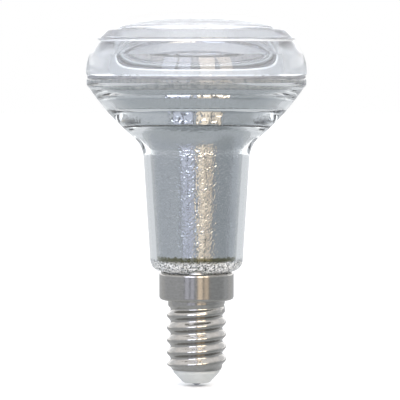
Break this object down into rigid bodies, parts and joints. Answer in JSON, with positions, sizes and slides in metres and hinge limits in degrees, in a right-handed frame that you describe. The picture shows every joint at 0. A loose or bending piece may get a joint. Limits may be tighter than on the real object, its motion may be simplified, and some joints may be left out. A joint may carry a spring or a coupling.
{
  "type": "reflector bulb",
  "caption": "Reflector lamp with a mirrored glass body, a clear stepped lens over light-emitting diodes and a screw cap of 14 mm.",
  "frame": {"origin": "tip of the centre contact, on the axis of the lamp", "axes": "+Z along the axis from the cap to the lens; -Y towards the solder notch at the front of the neck"},
  "size_m": [0.05, 0.05, 0.0839],
  "materials": {
    "cap_solder": "dull tinned",
    "centre_contact": "dark tarnished",
    "cap_insulator": "smooth moulded white",
    "cap_shell": "satin nickel plating with fine turning lines",
    "cap_cement": "matte",
    "glass_reflector": "clear pressed glass, mirrored on the inside",
    "lens_seal": "clear silicone",
    "lens": "clear polished moulding",
    "board_glue": "matte",
    "diode_board": "white solder mask",
    "diode_housings": "white moulded",
    "diode_phosphors": "yellow gel",
    "board_socket": "white moulded",
    "driver_housing": "white moulded",
    "driver_board": "green solder mask",
    "pin_header": "black moulded",
    "header_pins": "plated",
    "capacitor_can": "dark printed sleeve",
    "choke_core": "dark ferrite",
    "choke_winding": "enamelled copper wire",
    "chip_package": "black moulded",
    "chip_resistors": "dark glazed",
    "fusible_resistor": "lacquered body on tinned leads",
    "neutral_lead": "tinned copper"
  },
  "bodies": {
    "root": {"centre_solder": "cap_solder", "centre_contact": "centre_contact", "cap_insulator": "cap_insulator", "cap_shell": "cap_shell", "cap_cement": "cap_cement", "glass_reflector": "glass_reflector", "lens_seal": "lens_seal", "lens": "lens", "board_glue": "board_glue", "diode_board": "diode_board", "diode_housings": "diode_housings", "diode_phosphors": "diode_phosphors", "board_socket": "board_socket", "driver_housing": "driver_housing", "driver_board": "driver_board", "pin_header": "pin_header", "header_pins": "header_pins", "input_capacitor": "capacitor_can", "output_capacitor": "capacitor_can", "choke_core": "choke_core", "choke_winding": "choke_winding", "bridge_rectifier": "chip_package", "driver_chip": "chip_package", "output_diode": "chip_package", "chip_resistors": "chip_resistors", "fusible_resistor": "fusible_resistor", "neutral_lead": "neutral_lead", "neutral_solder": "cap_solder"}
  },
  "joints": []
}
